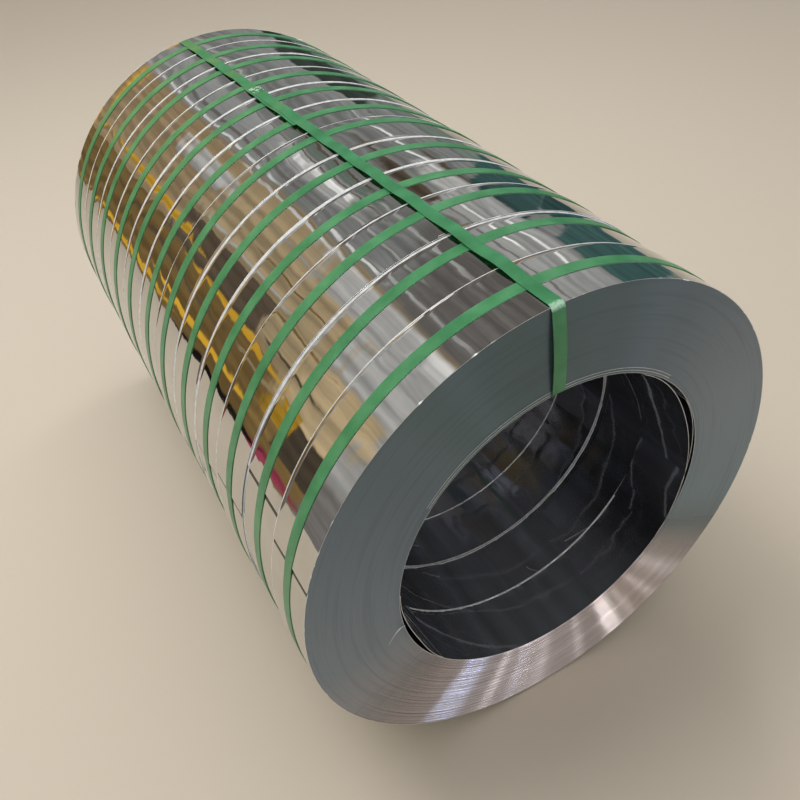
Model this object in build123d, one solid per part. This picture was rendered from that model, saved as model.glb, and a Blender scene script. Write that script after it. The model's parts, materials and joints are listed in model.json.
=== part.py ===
"""Steel coil: a master coil slit into twelve coils, butted on one axis, strapped, and lying on its side.

Millimetres and degrees, +Z up. The coils' axis runs along Y, the near end face looks to -Y, and the lowest
straps touch the floor at Z = 0. Angles about the axis are measured from the top, towards -X.
"""
import os
from math import acos, cos, pi, radians, sin, sqrt

from build123d import *

# Strip and slit coils
COIL_COUNT = 12
COIL_WIDTH = 102.5
BORE_RADIUS = 254.0
STRIP_THICKNESS = 1.0
# Wraps on each coil, from the near end: the coils don't all end at the same diameter
WRAP_COUNTS = (134, 133, 135, 133, 134, 135, 133, 134, 135, 134, 135, 134)
# Where the outer end of each coil's strip lies, from the near end
TAIL_ANGLES = (73.0, 68.0, 80.5, 83.5, 94.0, 99.0, 104.0, 118.0, 109.0, 126.0, 121.0, 132.0)
# Wraps that lie a little deeper or higher on the end faces, from the bore out, and their depth below the end
NEAR_WRAPS = ((3, 0.6), (6, 0.0), (48, 0.5), (93, 0.0))
FAR_WRAPS = ((9, 0.0), (64, 0.5), (98, 0.0))

# Plastic strapping
STRAP_WIDTH = 19.0
STRAP_THICKNESS = 1.0
# Middle of each coil's own strap on top, in coil widths from the coil's near side
STRAP_PLACES = (0.52, 0.65, 0.645, 0.51, 0.58, 0.735, 0.56, 0.605, 0.54, 0.66, 0.52, 0.54)
# How far each strap drifts towards the near end from the top down to the side with the tails
STRAP_DRIFTS = (0.0, 15.0, 18.0, 0.0, 7.0, 17.0, 4.0, 0.0, 0.0, 6.0, 0.0, 0.0)
# The weld of a coil strap, where its two ends lie over each other on the side away from the tails
COIL_WELD_ANGLE = -112.0
COIL_WELD_LENGTH = 32.0
# The strap through the eye slants a little from the near end to the far end
EYE_ANGLE_NEAR = 4.0
EYE_ANGLE_FAR = 9.5
EYE_BEND_RADIUS = 0.8
EYE_BORE_SPANS = 4
# Its two ends lie over each other on top, at these distances in coil widths from the near face
LAP_START = 6.38
LAP_END = 8.30
LAP_RAMP = 0.25
LAP_SIDE_SHIFT = 4.0

STACK_LENGTH = COIL_COUNT * COIL_WIDTH
NEAR_FACE_Y = -STACK_LENGTH / 2
FAR_FACE_Y = STACK_LENGTH / 2
# More than the largest coil, for shapes that are trimmed to it
TRIM_SHARE = 1.1
TRIM_RADIUS = TRIM_SHARE * (BORE_RADIUS + max(WRAP_COUNTS) * STRIP_THICKNESS)


def wrap_radius(wraps):
    """Radius of a coil that has this many wraps, counted out from the bore."""
    return BORE_RADIUS + wraps * STRIP_THICKNESS


def outer_radius(index):
    """Radius of a coil at the outer end of its strip."""
    return wrap_radius(WRAP_COUNTS[index])


def turn_arcs(radius):
    """Centre and radius of the two half turns that wind in from the strip's end by one thickness."""
    step = STRIP_THICKNESS
    return (step / 4, radius - step / 4), (-step / 4, radius - 3 * step / 4)


def surface_radius(index, angle):
    """Distance from the axis to a coil's outer surface at an angle."""
    from_tail = radians((TAIL_ANGLES[index] - angle) % 360)
    centre, arc_radius = turn_arcs(outer_radius(index))[from_tail > pi]
    return arc_radius + centre * cos(from_tail)


def from_near_face(coil_widths):
    """Y of a place that is counted in coil widths from the near face."""
    return NEAR_FACE_Y + coil_widths * COIL_WIDTH


# The lowest strap stands on the floor
BOTTOM_ANGLE = 180.0
AXIS_HEIGHT = STRAP_THICKNESS + max(surface_radius(index, BOTTOM_ANGLE) for index in range(COIL_COUNT))
COIL_AXIS = Axis((0, 0, AXIS_HEIGHT), (0, 1, 0))


def across(y, angle):
    """Plane square to the axis: local X points out at the angle, and local Z along +Y."""
    outwards = Vector(-sin(radians(angle)), 0, cos(radians(angle)))
    return Plane(origin=(0, y, AXIS_HEIGHT), x_dir=outwards, z_dir=(0, 1, 0))


def wound_outline(radius):
    """Outline of a wound coil, with the end of its strip on local +X."""
    (first_centre, first_radius), (second_centre, second_radius) = turn_arcs(radius)
    strip_end = (radius, 0)
    under_end = (radius - STRIP_THICKNESS, 0)
    back = (first_centre - first_radius, 0)
    first_turn = ThreePointArc(strip_end, (first_centre, first_radius), back)
    second_turn = ThreePointArc(back, (second_centre, -second_radius), under_end)
    return make_face([first_turn, second_turn, Line(under_end, strip_end)])


def taut_outline(radius, grow):
    """Outline of a strap over a wound coil, grown outwards, with its straight span down the strip's end."""
    (first_centre, first_radius), (second_centre, second_radius) = turn_arcs(radius)
    span_angle = acos(second_radius / (radius - second_centre))
    top = (radius + grow, 0)
    back = (first_centre - first_radius - grow, 0)
    span_start = (
        second_centre + (second_radius + grow) * cos(span_angle),
        -(second_radius + grow) * sin(span_angle),
    )
    span_end = (radius + grow * cos(span_angle), -grow * sin(span_angle))
    edges = [
        ThreePointArc(top, (first_centre, first_radius + grow), back),
        ThreePointArc(back, (second_centre, -second_radius - grow), span_start),
        Line(span_start, span_end),
    ]
    if grow:
        bend_middle = (radius + grow * cos(span_angle / 2), -grow * sin(span_angle / 2))
        edges.append(ThreePointArc(span_end, bend_middle, top))
    return make_face(edges)


def coil_section(index):
    """Half section of a coil, with the deeper and higher wraps of the two end faces."""
    near_y = from_near_face(index)
    far_y = from_near_face(index + 1)
    near_wraps = NEAR_WRAPS if index == 0 else ()
    far_wraps = FAR_WRAPS if index == COIL_COUNT - 1 else ()
    near_side = [(wrap_radius(wraps), near_y + depth) for wraps, depth in near_wraps]
    far_side = [(wrap_radius(wraps), far_y - depth) for wraps, depth in reversed(far_wraps)]
    corners = [
        (BORE_RADIUS, near_y),
        *near_side,
        (TRIM_RADIUS, near_y),
        (TRIM_RADIUS, far_y),
        *far_side,
        (BORE_RADIUS, far_y),
    ]
    return make_face(Polyline(*corners, close=True))


def slit_coil(index):
    """One slit coil: a turned ring with its bore, trimmed to the outline that its strip winds."""
    section_plane = Plane(origin=(0, 0, AXIS_HEIGHT), x_dir=(1, 0, 0), z_dir=(0, 0, 1))
    turned = revolve(section_plane * coil_section(index), COIL_AXIS)
    outline = across(from_near_face(index), TAIL_ANGLES[index]) * wound_outline(outer_radius(index))
    return turned & extrude(outline, COIL_WIDTH, dir=(0, 1, 0))


def weld_wedge(index):
    """Wedge from the axis, in a coil's own plane, that holds the lapped length of its strap."""
    half_angle = COIL_WELD_LENGTH / 2 / outer_radius(index)
    middle = radians(TAIL_ANGLES[index] - COIL_WELD_ANGLE)
    sides = [
        (TRIM_RADIUS * cos(middle + turn), TRIM_RADIUS * sin(middle + turn))
        for turn in (-half_angle, half_angle)
    ]
    return make_face(Polyline((0, 0), *sides, close=True))


def strap_middle(index, angle):
    """Y of the middle of a coil's own strap at an angle."""
    return from_near_face(index + STRAP_PLACES[index]) - STRAP_DRIFTS[index] * sin(radians(angle))


def drift_slab(index):
    """Slab as thick as a strap is wide, turned so that it cuts the coil along the strap's drift."""
    across_drift = (-STRAP_DRIFTS[index], outer_radius(index), 0)
    middle = Plane(origin=(0, strap_middle(index, 0), AXIS_HEIGHT), x_dir=(0, 0, 1), z_dir=across_drift)
    return extrude(middle * Rectangle(2 * TRIM_RADIUS, 2 * TRIM_RADIUS), STRAP_WIDTH / 2, both=True)


def coil_strap(index):
    """One coil's own strap: a closed band pulled taut round the coil, doubled along its weld."""
    radius = outer_radius(index)
    band = taut_outline(radius, STRAP_THICKNESS)
    lap = taut_outline(radius, 2 * STRAP_THICKNESS) & weld_wedge(index)
    loop = band + lap - taut_outline(radius, 0)
    reach = STRAP_WIDTH / 2 + TRIM_SHARE * STRAP_DRIFTS[index]
    near_edge = strap_middle(index, 0) - reach
    tube = extrude(across(near_edge, TAIL_ANGLES[index]) * loop, 2 * reach, dir=(0, 1, 0))
    return tube & drift_slab(index) if STRAP_DRIFTS[index] else tube


def eye_angle(y):
    """Angle of the eye strap's middle line at a place along the axis."""
    share = (y - NEAR_FACE_Y) / STACK_LENGTH
    return EYE_ANGLE_NEAR + share * (EYE_ANGLE_FAR - EYE_ANGLE_NEAR)


def eye_supports():
    """What the eye strap can bear on along the top: both rims, and both edges of each coil strap."""
    places = [(NEAR_FACE_Y, surface_radius(0, EYE_ANGLE_NEAR))]
    for index in range(COIL_COUNT):
        crossing_angle = eye_angle(strap_middle(index, EYE_ANGLE_NEAR))
        middle = strap_middle(index, crossing_angle)
        radius = surface_radius(index, crossing_angle) + STRAP_THICKNESS
        places.extend([(middle - STRAP_WIDTH / 2, radius), (middle + STRAP_WIDTH / 2, radius)])
    places.append((FAR_FACE_Y, surface_radius(COIL_COUNT - 1, EYE_ANGLE_FAR)))
    return places


def taut_line(supports):
    """The supports that a strap pulled tight over them touches."""
    line = []
    for y, radius in supports:
        while len(line) > 1:
            (y_a, radius_a), (y_b, radius_b) = line[-2:]
            height = radius_a + (radius - radius_a) * (y_b - y_a) / (y - y_a)
            if radius_b >= height:
                break
            line.pop()
        line.append((y, radius))
    return line


def radius_on(line, y):
    """Radius of a taut line at a place along the axis."""
    for (y_a, radius_a), (y_b, radius_b) in zip(line, line[1:]):
        if y_a <= y <= y_b:
            return radius_a + (radius_b - radius_a) * (y - y_a) / (y_b - y_a)
    raise ValueError(f"{y} is outside the strap's run")


def strap_section(y, radius, shift=0.0):
    """Section of the eye strap with its underside at a radius, shifted towards the tails' side."""
    low = -STRAP_WIDTH / 2 - shift
    corners = [
        (radius, low),
        (radius + STRAP_THICKNESS, low),
        (radius + STRAP_THICKNESS, low + STRAP_WIDTH),
        (radius, low + STRAP_WIDTH),
    ]
    return across(y, eye_angle(y)) * make_face(Polyline(*corners, close=True))


def lap_section(y, radius):
    """Section where the end from the near side lies on the end from the far side."""
    low = -STRAP_WIDTH / 2
    middle = radius + STRAP_THICKNESS
    top = middle + STRAP_THICKNESS
    corners = [
        (radius, low - LAP_SIDE_SHIFT),
        (middle, low - LAP_SIDE_SHIFT),
        (middle, low),
        (top, low),
        (top, -low),
        (middle, -low),
        (middle, -low - LAP_SIDE_SHIFT),
        (radius, -low - LAP_SIDE_SHIFT),
    ]
    return across(y, eye_angle(y)) * make_face(Polyline(*corners, close=True))


def end_bar(y, outwards, angle, inner, outer):
    """The strap's run down an end face, with rounded bends at the rim and at the bore."""
    outline = make_face(
        Polyline(
            (inner, -STRAP_WIDTH / 2),
            (outer, -STRAP_WIDTH / 2),
            (outer, STRAP_WIDTH / 2),
            (inner, STRAP_WIDTH / 2),
            close=True,
        )
    )
    bar = extrude(across(y, angle) * outline, STRAP_THICKNESS, dir=(0, outwards, 0))
    outer_face = bar.faces().sort_by(Axis.Y)[-1 if outwards > 0 else 0]
    bends = outer_face.edges().sort_by(SortBy.LENGTH)[:2]
    return fillet(bends, EYE_BEND_RADIUS)


def eye_strap():
    """The strap through the eye: along the top, down both end faces, and back through the bore."""
    line = taut_line(eye_supports())
    lap_start_y = from_near_face(LAP_START)
    lap_end_y = from_near_face(LAP_END)
    ramp_start_y = from_near_face(LAP_START - LAP_RAMP)
    shift_end_y = from_near_face(LAP_END + LAP_RAMP)

    near_run = [strap_section(y, radius) for y, radius in line if y < ramp_start_y]
    near_run.append(strap_section(ramp_start_y, radius_on(line, ramp_start_y)))
    near_run.append(strap_section(lap_start_y, radius_on(line, lap_start_y) + STRAP_THICKNESS))

    lap_places = [y for y, _ in line if lap_start_y < y < lap_end_y]
    lap_run = [lap_section(y, radius_on(line, y)) for y in (lap_start_y, *lap_places, lap_end_y)]

    far_run = [strap_section(lap_end_y, radius_on(line, lap_end_y), LAP_SIDE_SHIFT)]
    far_run.append(strap_section(shift_end_y, radius_on(line, shift_end_y)))
    far_run.extend(strap_section(y, radius) for y, radius in line if y > shift_end_y)

    # A flat strap in a round bore bears on its two edges
    bore_radius = sqrt(BORE_RADIUS**2 - (STRAP_WIDTH / 2) ** 2) - STRAP_THICKNESS
    bore_places = [NEAR_FACE_Y + STACK_LENGTH * span / EYE_BORE_SPANS for span in range(EYE_BORE_SPANS + 1)]
    bore_run = [strap_section(y, bore_radius) for y in bore_places]

    near_bar = end_bar(NEAR_FACE_Y, -1, EYE_ANGLE_NEAR, bore_radius, line[0][1] + STRAP_THICKNESS)
    far_bar = end_bar(FAR_FACE_Y, 1, EYE_ANGLE_FAR, bore_radius, line[-1][1] + STRAP_THICKNESS)
    runs = [loft(run, ruled=True) for run in (near_run, lap_run, far_run, bore_run)]
    return Part() + [*runs, near_bar, far_bar]


def save(shape, name):
    """Write one sub-part under its node's name."""
    shape.label = name
    export_step(shape, f"parts/{name}.step")


def main():
    """Build every sub-part and write it."""
    os.makedirs("parts", exist_ok=True)
    for index in range(COIL_COUNT):
        save(slit_coil(index), f"slit_coil_{index + 1:02d}")
        save(coil_strap(index), f"coil_strap_{index + 1:02d}")
    save(eye_strap(), "eye_strap")


main()
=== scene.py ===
"""Steel coil, dressed: twelve slit coils of bright strip, strapped in green and lying on their side.

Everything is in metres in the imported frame: the coils' axis runs along Y, the near end face looks to -Y, and
the floor is at Z = 0. Angles about the axis are measured from the top, towards -X. Sizes that are easier to
read in millimetres are written with MM.
"""
from __future__ import annotations

import json
import logging
import math
from collections.abc import Callable, Sequence
from dataclasses import dataclass, field
from enum import Enum, IntEnum

import bpy
import numpy as np
from bpy.types import ID, ColorRamp, Material, Mesh, Node, NodeSocket, NodeTree, Object
from mathutils import Matrix, Vector
from numpy.random import Generator, default_rng

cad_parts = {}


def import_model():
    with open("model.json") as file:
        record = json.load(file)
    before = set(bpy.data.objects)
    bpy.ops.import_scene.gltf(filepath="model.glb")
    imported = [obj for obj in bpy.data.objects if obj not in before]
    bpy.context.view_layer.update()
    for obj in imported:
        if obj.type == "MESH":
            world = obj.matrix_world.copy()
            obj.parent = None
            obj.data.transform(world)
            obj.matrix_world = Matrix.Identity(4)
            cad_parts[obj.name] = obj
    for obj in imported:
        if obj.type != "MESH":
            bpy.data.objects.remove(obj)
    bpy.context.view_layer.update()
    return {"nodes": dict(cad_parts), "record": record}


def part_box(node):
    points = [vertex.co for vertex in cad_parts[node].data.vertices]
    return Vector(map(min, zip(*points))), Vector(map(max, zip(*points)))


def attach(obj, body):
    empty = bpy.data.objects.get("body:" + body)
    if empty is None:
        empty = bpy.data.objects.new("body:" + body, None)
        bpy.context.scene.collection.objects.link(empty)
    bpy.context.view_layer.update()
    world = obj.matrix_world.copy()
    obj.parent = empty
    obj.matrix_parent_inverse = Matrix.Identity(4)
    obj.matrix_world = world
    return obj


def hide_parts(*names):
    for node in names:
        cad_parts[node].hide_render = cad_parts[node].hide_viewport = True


LOG = logging.getLogger("steel_coil")

MM = 0.001
# Divided by a size in millimetres, this is the scale of a noise
PER_MM = 1 / MM
BODY = "root"
STEEL_SLOT = "bright_rolled_steel"
STRAP_SLOT = "green_pet_strapping"

# Columns of a round mesh in one turn, the least angle of a sharp corner, and the seed of every random draw
COLUMNS = 720
SHARP_ANGLE = math.radians(38)
SEED = 1359
# Radius that the slopes of waves round a coil are meant for
WAVE_RADIUS = 0.388
MATTE_ROUGHNESS = 0.7

STRIP_THICKNESS = 1.0 * MM
STRAP_WIDTH = 19.0 * MM
STRAP_THICKNESS = 1.0 * MM
# Width in millimetres of the burnished edge at each joint between two coils, on the nearer coil
JOINT_BANDS = (1.6, 3.6, 1.8, 4.4, 3.8, 1.4, 4.2, 3.8, 3.0, 3.0, 2.4)
# The same edges seen inside the bore, in millimetres
BORE_BANDS = (2.7, 5.0, 2.2, 2.6, 3.0, 2.4, 3.0, 2.4, 2.4, 2.4, 2.4)
# How far inside an end plane an edge lies, and how near a packed vertex has to be to lie on that plane
EDGE_INSET = 0.3 * MM
NEAR_ENOUGH = 0.05 * MM

Array = np.ndarray
Pair = tuple[float, float]
Point = tuple[float, float, float]
Colour = tuple[float, float, float, float]
# Radii, places along the axis, and slots of the bands between them
Strip = tuple[Array, Array, Array]
# Values, sockets or nodes by the name or number of the input that they go into
Inputs = dict[str | int, object]


class Part(IntEnum):
    """Material slots of a coil's mesh."""

    BORE = 0
    FACE = 1
    WRAP = 2
    EDGE = 3
    TAIL_SHADOW = 4


class Draw(IntEnum):
    """Random sources, one for each uneven feature."""

    BORE = 1
    FACE = 2
    BULGE = 3
    RIPPLE = 4
    BORE_BAND = 5
    JOINT_BAND = 6
    DENTS = 7
    NICKS = 8
    BURRS = 9
    STRAP = 20
    WELD = 40


def linear(colour: str) -> Colour:
    """Turn an sRGB hex colour into linear light.

    Args:
        colour: Six hex digits after a hash.

    Returns:
        Linear red, green and blue, with an alpha of 1.
    """
    channels = [int(colour[i : i + 2], 16) / 255 for i in (1, 3, 5)]
    light = [c / 12.92 if c <= 0.04045 else ((c + 0.055) / 1.055) ** 2.4 for c in channels]
    return (light[0], light[1], light[2], 1.0)


def wire(node: Node, inputs: Inputs) -> None:
    """Set or link the inputs of a node.

    Args:
        node: The node.
        inputs: What goes into them. Of a node it is the first output.
    """
    for name, value in inputs.items():
        if isinstance(value, Node):
            value = value.outputs[0]
        if isinstance(value, NodeSocket):
            node.id_data.links.new(value, node.inputs[name])
        else:
            node.inputs[name].default_value = value


def add(tree: NodeTree, kind: str, inputs: Inputs | None = None, **settings: object) -> Node:
    """Add one node to a tree.

    Args:
        tree: The node tree of a material or world.
        kind: The node's type name after "ShaderNode".
        inputs: What goes into its inputs.
        settings: Its own properties.

    Returns:
        The new node.
    """
    node = tree.nodes.new(f"ShaderNode{kind}")
    for name, value in settings.items():
        setattr(node, name, value)
    wire(node, inputs or {})
    return node


def set_stops(ramp: ColorRamp, stops: Sequence[tuple[float, str]]) -> None:
    """Give a colour ramp its stops.

    Args:
        ramp: The ramp, with its two first stops.
        stops: Place and sRGB hex colour of each stop, in rising order.
    """
    while len(ramp.elements) < len(stops):
        ramp.elements.new(1.0)
    for element, (place, colour) in zip(ramp.elements, stops):
        element.position = place
        element.color = linear(colour)


def signed(angle: Array) -> Array:
    """The same angle between half a turn back and half a turn on."""
    return (angle + math.pi) % math.tau - math.pi


def grid_mesh(name: str, points: Array, slots: Sequence[int] | Array, ring: bool) -> Mesh:
    """Mesh a tube of points, whose rows each go once round its section.

    Args:
        name: The mesh's name.
        points: Rows by columns by 3, in metres.
        slots: Material slot of the strip that starts at each column, or of each face by row and column.
        ring: Whether the last row joins the first. If not, both ends are capped.

    Returns:
        The mesh, shaded smooth but for its corners.
    """
    rows, columns = points.shape[:2]
    row, column = np.meshgrid(np.arange(rows if ring else rows - 1), np.arange(columns), indexing="ij")
    next_row, next_column = (row + 1) % rows, (column + 1) % columns
    corners = ((row, column), (next_row, column), (next_row, next_column), (row, next_column))
    faces = np.stack([r * columns + c for r, c in corners], axis=-1).reshape(-1, 4).tolist()
    materials = np.broadcast_to(np.asarray(slots), row.shape).reshape(-1).tolist()
    if not ring:
        faces += [list(range(columns)), list(range(rows * columns - 1, (rows - 1) * columns - 1, -1))]
        materials += [max(materials)] * 2
    mesh = bpy.data.meshes.new(name)
    mesh.from_pydata(points.reshape(-1, 3).tolist(), [], faces)
    mesh.polygons.foreach_set("material_index", materials)
    mesh.shade_smooth()
    mesh.set_sharp_from_angle(angle=SHARP_ANGLE)
    mesh.validate()
    return mesh


def stand(name: str, data: ID) -> Object:
    """Put a mesh, a lamp or a camera into the scene.

    Args:
        name: The object's name.
        data: What it shows.

    Returns:
        The new object.
    """
    thing = bpy.data.objects.new(name, data)
    bpy.context.scene.collection.objects.link(thing)
    return thing


def place(name: str, mesh: Mesh, materials: Sequence[Material], slot: str, *nodes: str) -> None:
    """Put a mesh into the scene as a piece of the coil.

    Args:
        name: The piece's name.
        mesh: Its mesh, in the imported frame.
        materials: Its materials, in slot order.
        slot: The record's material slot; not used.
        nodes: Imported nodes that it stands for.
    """
    piece = stand(name, mesh)
    for material in materials:
        mesh.materials.append(material)
    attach(piece, BODY)
    if nodes:
        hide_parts(*nodes)
    LOG.info("%s: %d faces", name, len(mesh.polygons))


@dataclass(frozen=True)
class Axle:
    """The coils' common axis and bore."""

    height: float
    bore_radius: float

    def at(self, angle: Array | float, radius: Array | float, y: Array | float) -> Array:
        """Points at an angle, a radius and a place along the axis.

        Args:
            angle: Radians from the top, towards -X.
            radius: Metres from the axis.
            y: Metres along the axis.

        Returns:
            The points, with X, Y and Z along a new last axis.
        """
        angle, radius, y = np.broadcast_arrays(angle, radius, y)
        return np.stack([-radius * np.sin(angle), y, self.height + radius * np.cos(angle)], axis=-1)

    def seen_from(self, node: Object) -> tuple[Array, Array, Array]:
        """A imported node's corners: how far towards -X and up from the axis, and where along it."""
        x, y, z = np.array([vertex.co for vertex in node.data.vertices], float).T
        return -x, z - self.height, y


@dataclass(frozen=True)
class CoilSize:
    """Where one slit coil and its strap lie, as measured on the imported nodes."""

    index: int
    near_y: float
    far_y: float
    outer_radius: float
    tail_angle: float
    strap_y: float
    strap_drift: float

    @classmethod
    def measure(cls, index: int, axle: Axle, nodes: dict[str, Object]) -> CoilSize:
        """Read a coil's sizes off its node.

        Args:
            index: The coil's number, from 0 at the near end.
            axle: The common axis.
            nodes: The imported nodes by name.

        Returns:
            The sizes.
        """
        name = f"slit_coil_{index + 1:02d}"
        low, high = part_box(name)
        across, up, _ = axle.seen_from(nodes[name])
        radii = np.hypot(across, up)
        tip = int(np.argmax(radii))
        strap_low, strap_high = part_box(f"coil_strap_{index + 1:02d}")
        return cls(
            index=index,
            near_y=low.y,
            far_y=high.y,
            outer_radius=float(radii[tip]),
            tail_angle=math.atan2(across[tip], up[tip]),
            strap_y=(strap_low.y + strap_high.y) / 2,
            strap_drift=max((strap_high.y - strap_low.y - STRAP_WIDTH) / 2, 0.0),
        )

    def strap_line(self, angle: Array) -> Array:
        """Middle line of the coil's own strap at each angle."""
        return self.strap_y - self.strap_drift * np.sin(angle)

    def wound_radius(self, angle: Array) -> Array:
        """Radius of the outer wrap, which loses one thickness in a turn from its tail."""
        past_tail = (self.tail_angle - angle) % math.tau / math.tau
        return self.outer_radius - STRIP_THICKNESS * past_tail

    def taut_radius(self, angle: Array) -> Array:
        """Radius of a strap's underside, which spans the step at the tail in a straight line."""
        inner = self.outer_radius - STRIP_THICKNESS
        span = math.acos(inner / self.outer_radius)
        past = (angle - self.tail_angle) % math.tau
        straight = inner / np.cos(np.minimum(np.abs(span - past), span))
        return np.where(past < span, straight, self.wound_radius(angle))


def waves(rng: Generator, counts: tuple[int, int], sides: int, slope: float, terms: int) -> Callable:
    """A random wavy field round a coil.

    Args:
        rng: Source of its draws.
        counts: Least and most waves in a turn.
        sides: Most half waves across the strip.
        slope: Root mean square slope of the waves along the turn.
        terms: How many waves are added up.

    Returns:
        A function of the angle and of the share across the strip, giving metres.
    """
    turn_waves = rng.integers(counts[0], counts[1] + 1, terms)
    side_waves = rng.integers(0, sides + 1, terms)
    phases = rng.uniform(0, math.tau, (2, terms))
    heights = slope * math.sqrt(2 / terms) * WAVE_RADIUS / turn_waves * rng.uniform(0.6, 1.4, terms)

    def field_at(angle: Array, share: Array) -> Array:
        """Height of the field."""
        total = np.zeros(np.broadcast(angle, share).shape)
        for n, m, p, q, h in zip(turn_waves, side_waves, phases[0], phases[1], heights):
            total += h * np.sin(n * angle + p) * np.cos(m * math.pi * share + q)
        return total

    return field_at


@dataclass(frozen=True)
class SlitCoil:
    """One wound strip: its wavy outer wrap, its burnished edges, its slit ends and its bore."""

    size: CoilSize
    axle: Axle
    count: int
    near_columns: int = COLUMNS * 3 // 2
    wrap_columns: int = 15
    bore_columns: int = 9
    face_columns: int = 44
    rim: float = 0.5 * MM
    # Least and most share of its width that a burnished edge has, and how far it rises over its width
    band_range: Pair = (0.7, 1.35)
    band_swing: float = 5.0
    band_rise: float = 0.22
    bore_rise: float = 0.3
    # Shares of the edge's width in the bore at which its line breaks, and of its rise there
    bore_breaks: tuple[float, ...] = (0.62, 0.42, 0.0)
    bore_rises: tuple[float, ...] = (0.7, 0.5, 1.0)
    # A burnished edge in the bore wider than this shows as two lines with a dark gap
    double_band: float = 4.0 * MM
    # Burrs that widen it: their half width along the rim, and their height
    burr_count: int = 34
    burr_reach: Pair = (4 * MM, 16 * MM)
    burr_height: Pair = (0.3 * MM, 1.6 * MM)
    tail_lift: float = 0.6 * MM
    tail_run: float = math.radians(5.0)
    # Width of the dark line under the end of the strip, a painted shadow
    tail_line: float = math.radians(1.15)
    # Just before and after the end of the strip, where its step stands
    tail_gap: float = 1e-4
    # Length over which the wrap is free to bulge beside a strap
    free_run: float = 13.0 * MM
    # Dents of the outer wrap: the angles and the shares across it where they lie, half their length in
    # millimetres, half their width as a share of the wrap's, and their depth in millimetres
    dents: int = 9
    dent_angles: Pair = (math.radians(-60), math.radians(80))
    dent_shares: Pair = (0.1, 0.9)
    dent_reach: Pair = (10, 22)
    dent_width: Pair = (0.12, 0.3)
    dent_depth: Pair = (0.08, 0.22)
    # Nicks in the rim of an end face: their half width along it, and their depth
    nick_count: int = 46
    nick_reach: Pair = (2 * MM, 6 * MM)
    nick_depth: Pair = (0.4 * MM, 1.9 * MM)
    # What the rim of an end face loses of each nick, and how deep a hidden end face lies
    nick_share: float = 0.7
    hidden_depth: float = 0.05 * MM
    # How far wraps stand back on an end face, in slow waves and from one to the next
    slow_relief: float = 0.048 * MM
    slow_steps: Pair = (0.1, 0.7)
    fine_relief: float = 0.02 * MM
    # Wraps that stand proud of the end by the bore, as distances out from it, and the angles between which
    # their tops carry a painted highlight
    proud_wraps: tuple[float, ...] = (3.4, 7.4)
    proud_width: float = 0.6 * MM
    proud_height: float = 0.35 * MM
    proud_flank: float = 0.2 * MM
    proud_gap: float = 3 * MM
    proud_from: float = math.radians(-42)
    proud_to: float = math.radians(52)

    @property
    def is_near(self) -> bool:
        """Whether this is the nearest coil."""
        return self.size.index == 0

    @property
    def is_far(self) -> bool:
        """Whether this is the furthest coil."""
        return self.size.index == self.count - 1

    def build(self, finishes: Sequence[Material]) -> None:
        """Mesh the coil, dress it and let it stand for its node.

        Args:
            finishes: Materials in the order of Part.
        """
        columns = self.near_columns if self.is_near else COLUMNS
        tail = self.size.tail_angle + np.array([-self.tail_gap, self.tail_gap, self.tail_line])
        angles = np.linspace(0, math.tau, columns, endpoint=False)
        angles = np.sort(np.append(angles, np.mod(tail, math.tau)))[:, None]
        strips = [self.bore(angles), self.far_face(angles), self.wrap(angles), self.near_face(angles)]
        radii, places, slots = (np.hstack(values) for values in zip(*strips))
        name = f"slit_coil_{self.size.index + 1:02d}"
        mesh = grid_mesh(name, self.axle.at(angles, radii, places), slots, ring=True)
        place(f"{name}_strip", mesh, finishes, STEEL_SLOT, name)

    def rng(self, draw: Draw) -> Generator:
        """Random source of one feature of this coil."""
        return default_rng([SEED, self.size.index, draw])

    def band(self, angles: Array, widths: Sequence[float], draw: Draw) -> Array:
        """Uneven width of the burnished edge at this coil's far side."""
        if self.is_far:
            return np.full(angles.shape, self.rim)
        uneven = waves(self.rng(draw), (3, 40), sides=0, slope=0.5, terms=14)(angles, np.zeros(1))
        share = np.clip(1 + self.band_swing * uneven / self.size.outer_radius, *self.band_range)
        return widths[self.size.index] * MM * share

    def spikes(
        self, angles: Array, draw: Draw, count: int, reach: Pair, height: Pair
    ) -> Array:
        """Peaks at random angles, each with straight flanks.

        Args:
            angles: One column of angles.
            draw: Which random source to use.
            count: How many peaks.
            reach: Least and most half width, in metres along the outer rim.
            height: Least and most height, in metres.

        Returns:
            The highest peak at each angle.
        """
        rng = self.rng(draw)
        total = np.zeros(angles.shape)
        for _ in range(count):
            turn = signed(angles - rng.uniform(0, math.tau))
            half = rng.uniform(*reach) / self.size.outer_radius
            total = np.maximum(total, rng.uniform(*height) * np.clip(1 - np.abs(turn) / half, 0, 1))
        return total

    def nicks(self, angles: Array) -> Array:
        """Depth of the dents along the outer rim of an end that shows."""
        return self.spikes(angles, Draw.NICKS, self.nick_count, self.nick_reach, self.nick_depth)

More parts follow.
